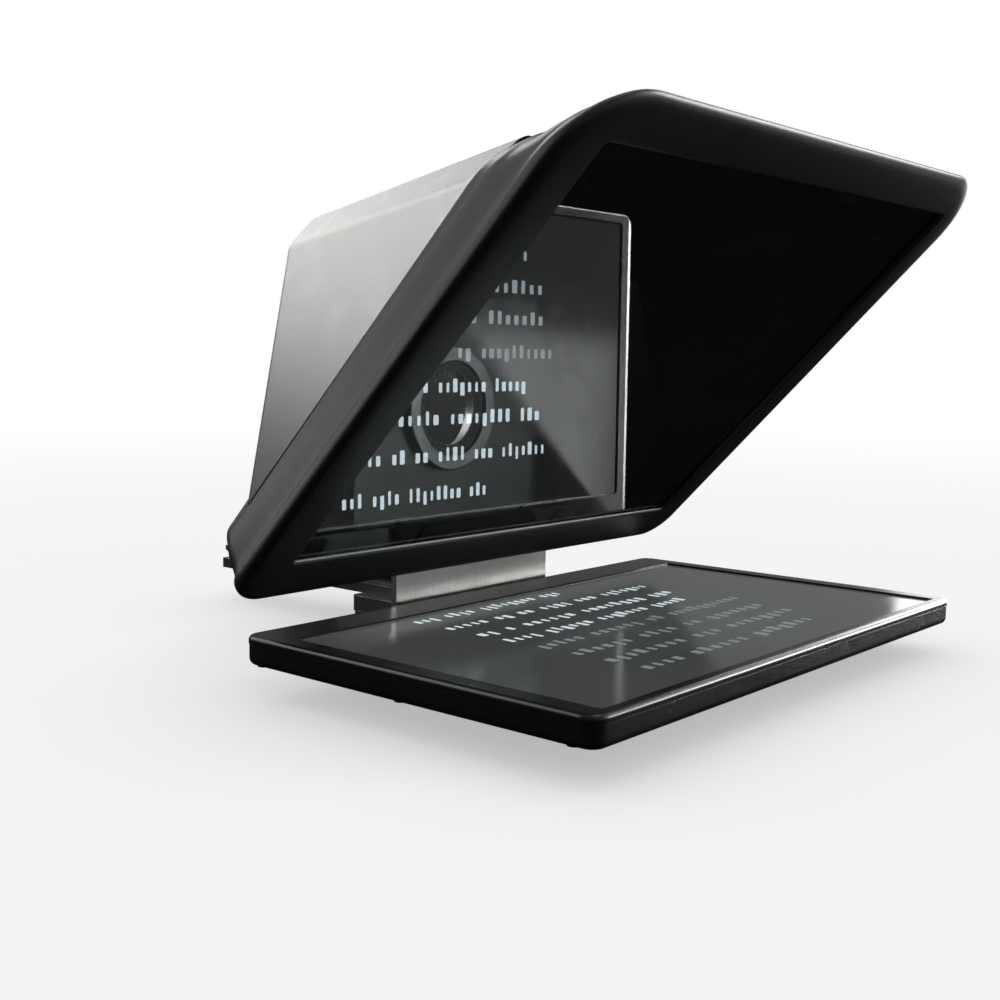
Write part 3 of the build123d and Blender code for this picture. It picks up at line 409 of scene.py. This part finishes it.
MATERIALS = {
    "hood_plastic": plastic("hood_plastic_m", (0.020, 0.0202, 0.021), rough=0.36, grain=2400.0,
                            depth=0.00003, smudge=0.07, edge_radius=0.0010),
    "satin_black_plastic": plastic("satin_black_m", (0.014, 0.0142, 0.015), rough=0.27,
                                   grain=2900.0, depth=0.00002, smudge=0.08),
    "bezel": plastic("bezel_m", (0.014, 0.0142, 0.015), rough=0.24, grain=2900.0,
                     depth=0.00002, smudge=0.08, relief=soft_shoulder),
    "clip_plastic": plastic("clip_m", (0.016, 0.016, 0.017), rough=0.45, grain=2600.0,
                            depth=0.00003),
    "button_plastic": plastic("button_m", (0.014, 0.014, 0.015), rough=0.22, grain=3500.0,
                              depth=0.00001),
    "knob_plastic": plastic("knob_m", (0.014, 0.014, 0.014), rough=0.48, grain=1800.0,
                            depth=0.00006, wear=0.4),
    "brushed_aluminium": metal("brushed_aluminium_m", (0.36, 0.354, 0.345), rough=0.34,
                               depth=0.000018, brush=(2600.0, 40.0, 40.0), wear=0.35,
                               anisotropy=0.35),
    "black_anodised": metal("black_anodised_m", (0.030, 0.030, 0.033), rough=0.42,
                            depth=0.00003, bead=0.8, wear=0.5, metallic=0.75,
                            bright=(0.42, 0.42, 0.43)),
    "ring_aluminium": metal("ring_aluminium_m", (0.15, 0.15, 0.155), rough=0.36, depth=0.00001,
                            brush=(90.0, 2400.0, 90.0), wear=0.35, metallic=0.85),
    "stainless": metal("stainless_m", (0.58, 0.57, 0.56), rough=0.26, depth=0.000015,
                       brush=(900.0, 900.0, 2600.0)),
    "screw_steel": metal("screw_steel_m", (0.055, 0.055, 0.06), rough=0.32, depth=0.00002,
                         bead=0.4, wear=0.5, metallic=0.9),
    "sheet_metal": metal("sheet_metal_m", (0.55, 0.56, 0.58), rough=0.38, depth=0.00002,
                         brush=(60.0, 1500.0, 60.0)),
    "socket_steel": metal("socket_m", (0.66, 0.66, 0.66), rough=0.26, depth=0.00001, bead=0.3),
    "magnet": metal("magnet_m", (0.66, 0.66, 0.68), rough=0.14, depth=0.00001, bead=0.2),
    "circuit_board": circuit_board("circuit_board_m"),
    "ribbon": polyimide("ribbon_m"),
    "acrylic": clear("acrylic_m"),
    "rubber": rubber("rubber_m", (0.020, 0.020, 0.020), rough=0.66, grain=1500.0,
                     depth=0.00008),
    "soft_seal": knit("soft_seal_m"),
    "beam_splitter": beam_splitter("beam_splitter_m"),
    "screen": screen("screen_m"),
}


def dress_cad_pieces():
    slots = {part["node"]: part["material_slot"] for part in frame["record"]["subparts"]}
    for name, ob in frame["nodes"].items():
        key = "bezel" if name == "display_bezel" else slots[name]
        ob.data.materials.clear()
        ob.data.materials.append(MATERIALS[key])
        for face in ob.data.polygons:
            face.material_index = 0


# ------------------------------------------------------------------ mesh helpers
def glass_point(x, u, depth):
    return Vector((x * MM, (GLASS_Y + DIAGONAL * (depth - u)) * MM,
                   (GLASS_Z + DIAGONAL * (depth + u)) * MM))


def finish_mesh(name, bm, material, sharp_angle):
    """Shade smooth, with edges steeper than sharp_angle (degrees) kept sharp."""
    bmesh.ops.recalc_face_normals(bm, faces=bm.faces[:])
    mesh = bpy.data.meshes.new(name)
    limit = math.radians(sharp_angle)
    for face in bm.faces:
        face.smooth = True
    for edge in bm.edges:
        edge.smooth = not (len(edge.link_faces) == 2 and edge.calc_face_angle(0.0) > limit)
    bm.to_mesh(mesh)
    bm.free()
    mesh.materials.append(material)
    ob = bpy.data.objects.new(name, mesh)
    bpy.context.scene.collection.objects.link(ob)
    return ob


def loft(bm, rings, closed=False):
    """Join rings of points with quads; the last meets the first, or both ends are capped."""
    rings = [[bm.verts.new(point) for point in ring] for ring in rings]
    if closed:
        rings.append(rings[0])
    else:
        bm.faces.new(rings[0][::-1])
        bm.faces.new(rings[-1])
    for ring, following in zip(rings, rings[1:]):
        for i in range(len(ring)):
            j = (i + 1) % len(ring)
            bm.faces.new((ring[i], ring[j], following[j], following[i]))


def rounded_rectangle(x0, x1, y0, y1, r0, r1, arc_steps, side_steps=1):
    """Counter-clockwise outline; r0 rounds the corners at y0 and r1 those at y1."""
    points = []
    corners = [(x1 - r0, y0 + r0, -90, r0), (x1 - r1, y1 - r1, 0, r1),
               (x0 + r1, y1 - r1, 90, r1), (x0 + r0, y0 + r0, 180, r0)]

    def on_corner(corner, turn):
        x, y, start, radius = corner
        angle = math.radians(start + turn)
        return x + radius * math.cos(angle), y + radius * math.sin(angle)

    for i, corner in enumerate(corners):
        for k in range(arc_steps + 1):
            points.append(on_corner(corner, 90.0 * k / arc_steps))
        start_x, start_y = points[-1]
        end_x, end_y = on_corner(corners[(i + 1) % 4], 0.0)
        for k in range(1, side_steps):
            points.append((start_x + (end_x - start_x) * k / side_steps,
                           start_y + (end_y - start_y) * k / side_steps))
    return points


def catmull(rows, steps):
    """Smooth curve through every row, spaced by the first two columns; steps per span."""
    def knot(a, b):
        return max(math.hypot(b[0] - a[0], b[1] - a[1]) ** 0.5, 1e-6)

    curve = []
    last = len(rows) - 1
    for i in range(last):
        stations = rows[max(i - 1, 0)], rows[i], rows[i + 1], rows[min(i + 2, last)]
        before, span, after = (knot(a, b) for a, b in zip(stations, stations[1:]))
        for k in range(steps):
            t = k / steps
            row = []
            for p0, p1, p2, p3 in zip(*stations):
                leave = arrive = p2 - p1
                if i > 0:
                    leave = (p2 - p1) - (p2 - p0) / (before + span) * span \
                        + (p1 - p0) / before * span
                if i < last - 1:
                    arrive = (p2 - p1) - (p3 - p1) / (span + after) * span \
                        + (p3 - p2) / after * span
                cubic = 2 * (p1 - p2) + leave + arrive
                square = -3 * (p1 - p2) - 2 * leave - arrive
                row.append(cubic * t ** 3 + square * t * t + leave * t + p1)
            curve.append(tuple(row))
    curve.append(tuple(rows[-1]))
    return curve


def add_glass_box(bm, x_range, u_range, depth_range):
    """Box in glass coordinates, chamfered round its back face."""
    chamfer = 0.5
    (x0, x1), (u0, u1), (front, back) = x_range, u_range, depth_range
    rings = []
    for depth, inset in ((front, 0.0), (back - chamfer, 0.0), (back, chamfer)):
        left, right, low, high = x0 + inset, x1 - inset, u0 + inset, u1 - inset
        corners = ((left, low), (right, low), (right, high), (left, high))
        rings.append([glass_point(x, u, depth) for x, u in corners])
    loft(bm, rings)


# ------------------------------------------------------------------ hood rim
# Sections of the rim: depth, half width, lower u, upper u, lower and upper corner radius
RIM_OUTSIDE = [
    (-3.0, 190.6, 31.4, 352.2, 17.0, 37.5), (-2.3, 193.9, 28.1, 355.5, 19.5, 40.0),
    (-0.9, 196.3, 25.7, 357.9, 21.6, 41.5), (1.0, 197.25, 24.8, 358.8, 22.4, 42.0),
    (4.5, 197.0, 25.0, 354.6, 22.2, 41.5), (6.4, 195.9, 26.1, 350.4, 21.4, 39.3),
    (9.0, 194.9, 27.1, 345.6, 21.0, 35.7), (18.0, 193.3, 28.7, 323.6, 20.0, 28.0),
    (22.0, 192.3, 29.7, 319.6, 19.4, 28.0), (25.0, 191.2, 30.8, 315.5, 18.8, 28.0),
    (28.0, 190.4, 31.8, 311.1, 18.0, 28.0)]
RIM_INSIDE = [
    (-0.6, 193.3, 28.7, 355.0, 18.6, 38.0), (4.5, 193.9, 28.1, 351.0, 19.0, 38.0),
    (6.6, 192.9, 29.1, 347.4, 18.6, 36.0), (9.0, 191.8, 30.2, 340.6, 18.0, 32.0),
    (18.0, 190.2, 31.8, 317.8, 17.0, 25.0), (25.0, 188.1, 33.9, 311.0, 16.0, 25.0),
    (28.0, 187.3, 34.9, 307.0, 15.0, 25.0)]
RIM_FACE = (-3.0, 181.0, 45.0, 342.0, 10.0, 20.0)      # on the flat front face

OPENING_HALF, OPENING_LOW, OPENING_HIGH, OPENING_CORNER = 170.9, 57.5, 332.6, 3.0
LIP_DEPTH, LIP_RADIUS, LIP_STEPS = -0.8, 2.2, 8

PAD_HALF_LENGTH = 12.5
PAD_OUTWARD, PAD_INWARD = 4.6, 4.9           # reach from a pad's line, away from and to the middle
PAD_DEPTHS = (LIP_DEPTH, 3.0)
PAD_COLUMNS = ((-160.0, -150.0), (-62.0, -62.0), (62.0, 62.0), (160.0, 150.0))  # x low, x high
PAD_LOW_U, PAD_HIGH_U = 45.6, 344.4
PAD_SIDE_X, PAD_SIDE_ROWS = 183.0, (110.0, 195.0, 280.0)


def opening_section(depth, grow):
    return (depth, OPENING_HALF + grow, OPENING_LOW - grow, OPENING_HIGH + grow,
            OPENING_CORNER + grow, OPENING_CORNER + grow)


def pad_length(center):
    return center - PAD_HALF_LENGTH, center + PAD_HALF_LENGTH


def pad_width(line, inward):
    return sorted((line - inward * PAD_OUTWARD, line + inward * PAD_INWARD))


def build_rim():
    """One closed moulding, with pads for the glass clips and for the bracket's flange."""
    bm = bmesh.new()
    sections = [opening_section(-0.6, 0.0)]
    for k in range(LIP_STEPS + 1):            # rounded lip round the opening
        angle = math.radians(90.0 * k / LIP_STEPS)
        sections.append(opening_section(LIP_DEPTH - LIP_RADIUS * math.sin(angle),
                                        LIP_RADIUS * (1 - math.cos(angle))))
    sections.append(RIM_FACE)
    sections += catmull(RIM_OUTSIDE, steps=4)
    sections += RIM_INSIDE[::-1]
    rings = []
    for depth, half, low, high, low_r, high_r in sections:
        outline = rounded_rectangle(-half, half, low, high, low_r, high_r,
                                    arc_steps=16, side_steps=10)
        rings.append([glass_point(x, u, depth) for x, u in outline])
    loft(bm, rings, closed=True)

    for low_x, high_x in PAD_COLUMNS:
        for x, u, inward in ((low_x, PAD_LOW_U, 1), (high_x, PAD_HIGH_U, -1)):
            add_glass_box(bm, pad_length(x), pad_width(u, inward), PAD_DEPTHS)
    for u in PAD_SIDE_ROWS:
        for x, inward in ((-PAD_SIDE_X, 1), (PAD_SIDE_X, -1)):
            add_glass_box(bm, pad_width(x, inward), pad_length(u), PAD_DEPTHS)
    add_glass_box(bm, (-64, 64), (28.9, 37.0), (6.6, 26.5))      # bracket flange pad

    ob = finish_mesh("hood_rim_moulding", bm, MATERIALS["hood_plastic"], sharp_angle=38.0)
    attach(ob, "main_frame")
    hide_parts("hood_rim")


# ------------------------------------------------------------------ lens light seal
# (radius, y): outer foot against the ring, up to a crown, down to a rolled lip and back behind
SEAL_PROFILE = [
    (30.3, 94.8), (30.3, 92.6), (29.9, 91.9), (29.0, 91.5), (27.9, 91.55), (26.9, 91.95),
    (25.9, 92.5), (25.0, 92.9), (24.2, 92.95), (23.5, 92.8), (23.05, 93.1), (23.0, 93.6),
    (23.3, 94.1), (24.0, 94.35), (25.2, 94.3), (27.0, 94.4), (29.0, 94.8)]
SEAL_SEGMENTS = 180
SEAL_INNER, SEAL_STILL = 23.0, 30.0          # gathers grow from none at SEAL_STILL, over 7 mm
SEAL_Y_RANGE = (91.42, 94.98)
SEAL_GATHERS = ((30, 0.0, 0.16), (15, 1.1, 0.05), (7, 0.4, 0.05))    # waves, phase, height


def build_seal():
    """A soft, gathered ring round the lens axis."""
    low_y, high_y = SEAL_Y_RANGE
    rings = []
    for radius, y in catmull(SEAL_PROFILE, steps=4)[:-1]:
        share = max(0.0, min(1.0, (SEAL_STILL - radius) / (SEAL_STILL - SEAL_INNER)))
        ring = []
        for i in range(SEAL_SEGMENTS):
            angle = 2 * math.pi * i / SEAL_SEGMENTS
            pucker = sum(math.sin(angle * waves + phase) * height * share
                         for waves, phase, height in SEAL_GATHERS)
            r = max(radius + 0.10 * share * math.sin(angle * 30 + 0.9), SEAL_INNER)
            ring.append(Vector((r * math.cos(angle) * MM,
                                min(max(y + pucker, low_y), high_y) * MM,
                                (LENS_Z + r * math.sin(angle)) * MM)))
        rings.append(ring)
    bm = bmesh.new()
    loft(bm, rings, closed=True)
    ob = finish_mesh("lens_seal_lip", bm, MATERIALS["soft_seal"], sharp_angle=60.0)
    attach(ob, "lens_ring")
    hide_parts("lens_light_seal")


# ------------------------------------------------------------------ script on the display
# Lines of blank cells: right end x, base y, cells in each word
SCRIPT_LINES = [
    (30.0, 29.5, (3, 4, 8, 3)), (90.0, 5.5, (5, 2, 2, 4, 3, 7)),
    (84.0, -17.5, (2, 1, 6, 8, 3)), (69.0, -37.5, (4, 6, 7, 5)),
    (97.0, -59.0, (5, 6, 2, 10)), (87.0, -81.0, (6, 4, 2, 7)),
    (86.0, -101.5, (8, 3, 8)), (70.0, -123.0, (4, 6, 7))]
SCRIPT_LEFT = -99.0
CELL_Z, CELL_THICK, CELL_RADIUS = 32.802, 0.02, 0.9
CELL_REACH, CELL_TALL, CELL_TAIL = 6.2, 8.6, 2.2      # to -Y, taller cells, and tails to +Y
CELL_WIDTHS = (0.44, 0.52, 0.60, 0.36)                # shares of the pitch


def add_cell(bm, x0, x1, y0, y1):
    radius = min(CELL_RADIUS, (x1 - x0) / 2.2, (y1 - y0) / 2.2)
    outline = rounded_rectangle(x0, x1, y0, y1, radius, radius, arc_steps=3)
    loft(bm, [[Vector((x * MM, y * MM, z * MM)) for x, y in outline]
              for z in (CELL_Z, CELL_Z + CELL_THICK)])


def build_script():
    """Word bars in two objects: the four lines nearest the glass, then the rest."""
    draw = random.Random(7)
    near = lit("script_lit_near_m", along=0.85, above=2.2)
    far = lit("script_lit_far_m", along=0.22, above=0.9)
    for name, lines, material in (("script_bars_near", SCRIPT_LINES[:4], near),
                                  ("script_bars_far", SCRIPT_LINES[4:], far)):
        bm = bmesh.new()
        for end, base, words in lines:
            x = SCRIPT_LEFT
            pitch = (end - x) / (sum(words) + len(words) - 1)
            for count in words:
                for _ in range(count):
                    kind = draw.random()
                    reach = CELL_TALL if kind < 0.28 else CELL_REACH
                    tail = CELL_TAIL if kind > 0.90 else 0.0
                    width = pitch * draw.choice(CELL_WIDTHS)
                    add_cell(bm, x + (pitch - width) / 2, x + (pitch + width) / 2,
                             base - reach, base + tail)
                    x += pitch
                x += pitch
        ob = finish_mesh(name, bm, material, sharp_angle=30.0)
        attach(ob, "main_frame")


# ------------------------------------------------------------------ stage
def floor_material():
    """White to the camera with a painted contact shadow and painted shade round the middle, dim to
    other rays, and clear when looked at from below.
    """
    m = Material("floor_m", principled=False)
    path = m.node("ShaderNodeLightPath")
    occlusion = m.node("ShaderNodeAmbientOcclusion", {"Distance": 0.16}, samples=8)
    x, y, _ = m.axes(m.coords)
    # painted contact shadow: ambient occlusion within 0.16 m darkens the emitting floor down to
    # half white
    shade = m.ramp(occlusion.outputs["AO"], span=(0.0, 1.0), to=(0.50, 1.0), smooth=False)
    radius = m.radius(x, y)
    # painted shade round the middle: the floor is a tenth darker near the object and full white
    # from 2.6 m out
    direct = m.times(shade, m.ramp(radius, span=(0.3, 2.6), to=(0.90, 1.0)))
    side = m.to_front_right(x, y)
    other = m.times(m.ramp(radius, span=(0.85, 1.8)),
                    m.ramp(side, span=(-1.0, 1.5), to=(0.10, 0.42)))
    other = m.dim_to_camera(m.add(other, 0.005), path)
    seen = m.seen(path, 0.5)
    strength = m.add(m.times(seen, direct), m.times(m.minus(1.0, seen), other))
    glow = m.node("ShaderNodeEmission", {"Strength": strength, "Color": (1.0, 0.998, 0.992)})
    backfacing = m.node("ShaderNodeNewGeometry").outputs["Backfacing"]
    hole = m.node("ShaderNodeBsdfTransparent")
    m.finish(m.mix_shader(m.times(backfacing, path.outputs["Is Camera Ray"]), glow, hole))
    return m.material


def build_floor():
    bm = bmesh.new()
    bmesh.ops.create_grid(bm, x_segments=24, y_segments=24, size=14.0)
    ob = finish_mesh("floor", bm, floor_material(), sharp_angle=32.0)
    ob.location = (0, 0, -0.0004)


def build_world():
    """White to the camera; to other rays, brighter to the front right and overhead."""
    world = bpy.data.worlds.new("studio")
    bpy.context.scene.world = world
    g = Graph(world)
    g.spare_input = 0.5
    output = g.node("ShaderNodeOutputWorld")
    path = g.node("ShaderNodeLightPath")
    x, y, z = g.axes(g.node("ShaderNodeTexCoord").outputs["Generated"])
    side = g.add(g.times(g.to_front_right(x, y), 0.5), 0.5, clamp=True)
    side = g.math("POWER", side, 2.5)
    upward = g.math("MAXIMUM", z, 0.0)
    ambient = g.add_scaled(g.times(side, 0.20), upward, weight=0.16)
    ambient = g.add(ambient, 0.07)
    # seen from above, one clear surface may lie in the way
    seen = g.seen(path, g.add(0.5, g.math("GREATER_THAN", z, 0.0)))
    ambient = g.dim_to_camera(ambient, path)
    strength = g.add(seen, g.times(g.minus(1.0, seen), ambient))
    background = g.node("ShaderNodeBackground", {0: (1, 1, 1), 1: strength})
    g.set(output.inputs[0], background.outputs[0])


AIM = Vector((0.0, 0.0, 0.17))
DISPLAY = ("display_bezel", "display_rear_cover")
RIM = ("hood_rim_moulding",)
LENS_SIDE = ("back_plate", "lens_ring", "lens_seal_lip")
WARM = (1.0, 0.985, 0.965)
SOFT_WARM = (1.0, 0.99, 0.975)
NEUTRAL = (0.98, 0.99, 1.0)
COOL = (0.94, 0.97, 1.0)
# name, direction from AIM, distance, width, height, watts, colour, and the pieces it is
# limited to (INCLUDE) or kept off (EXCLUDE)
SOFTBOXES = [
    ("key", (-0.50, 0.72, 0.475), 1.9, 1.9, 1.15, 58.0, WARM, "EXCLUDE", RIM + DISPLAY),
    ("key_display", (-0.44, 0.75, 0.46), 1.9, 1.9, 1.15, 14.0, NEUTRAL, "INCLUDE", DISPLAY),
    ("key_rim", (-0.60, 0.78, 0.14), 1.9, 2.6, 2.4, 18.5, WARM, "INCLUDE", RIM),
    ("nose", (-0.74, 0.66, -0.02), 0.85, 0.55, 0.32, 0.35, WARM, "INCLUDE", RIM),
    ("lip", (0.754, -0.55, 0.33), 2.2, 1.2, 0.5, 26.0, COOL, "INCLUDE", RIM),
    ("chamfer", (0.30, 0.80, 0.52), 2.0, 0.9, 0.9, 8.0, SOFT_WARM, "EXCLUDE", DISPLAY),
    ("crease", (0.08, 0.92, 0.37), 2.0, 0.40, 0.8, 4.6, SOFT_WARM, "EXCLUDE", RIM + DISPLAY),
    ("right_high", (0.754, 0.111, 0.647), 2.2, 0.75, 0.75, 10.0, (0.97, 1.0, 0.975), None, ()),
    ("right_low", (0.98, 0.10, 0.08), 2.2, 1.0, 0.7, 6.0, (0.96, 0.985, 1.0), None, ()),
    ("bezel_line", (0.99, -0.08, 0.12), 2.0, 0.8, 1.0, 40.0, NEUTRAL,
     "INCLUDE", ("display_bezel",)),
    ("front_right", (0.754, -0.55, 0.32), 2.2, 1.1, 0.45, 4.5, COOL,
     "EXCLUDE", ("support_bracket",)),
    ("front_low", (0.87, -0.47, -0.10), 0.9, 0.8, 0.14, 9.0, (1.0, 0.985, 0.94),
     "INCLUDE", DISPLAY),
    ("top", (0.12, -0.24, 0.97), 2.1, 1.2, 1.2, 8.0, (0.97, 0.985, 1.0), None, ()),
    ("front", (0.48, -0.80, 0.29), 2.4, 1.4, 1.0, 5.5, (0.95, 0.975, 1.0), None, ()),
    ("plate_fill", (0.45, -0.88, 0.12), 1.9, 1.2, 0.8, 60.0, NEUTRAL, "INCLUDE", LENS_SIDE),
]


def softbox(name, direction, distance, width, height, watts, color, link_state, pieces):
    light = bpy.data.lights.new(name, "AREA")
    light.shape = "RECTANGLE"
    light.size = width
    light.size_y = height
    light.energy = watts
    light.color = color
    light.spread = math.radians(180.0)
    ob = bpy.data.objects.new(name, light)
    bpy.context.scene.collection.objects.link(ob)
    toward = Vector(direction).normalized()
    ob.location = AIM + toward * distance
    ob.rotation_mode = "QUATERNION"
    ob.rotation_quaternion = (-toward).to_track_quat("-Z", "Y")
    ob.visible_camera = False
    if not pieces:
        return
    receivers = bpy.data.collections.new(name + "_link")
    for piece in bpy.data.objects:
        if piece.type == "MESH" and piece.name.split(".")[0] in pieces:
            receivers.objects.link(piece)
    ob.light_linking.receiver_collection = receivers
    for member in receivers.collection_objects:
        member.light_linking.link_state = link_state


def build_camera():
    """At the front left, looking to the back right and slightly down."""
    camera = bpy.data.cameras.new("camera")
    camera.lens = 47.15
    camera.sensor_width = 36.0
    camera.clip_start = 0.01
    camera.clip_end = 100.0
    ob = bpy.data.objects.new("camera", camera)
    bpy.context.scene.collection.objects.link(ob)
    right = Vector((0.65227, -0.75789, 0.01204))
    up = Vector((0.07656, 0.08167, 0.99371))
    forward = Vector((0.754112, 0.647247, -0.111292))
    placing = Matrix((right, up, -forward)).transposed().to_4x4()
    placing.translation = Vector((-0.61015, -0.47359, 0.18203))
    ob.matrix_world = placing
    bpy.context.scene.camera = ob
    bpy.context.scene.view_settings.view_transform = "Standard"


dress_cad_pieces()
build_rim()
build_seal()
build_script()
build_floor()
build_world()
for row in SOFTBOXES:
    softbox(*row)
build_camera()
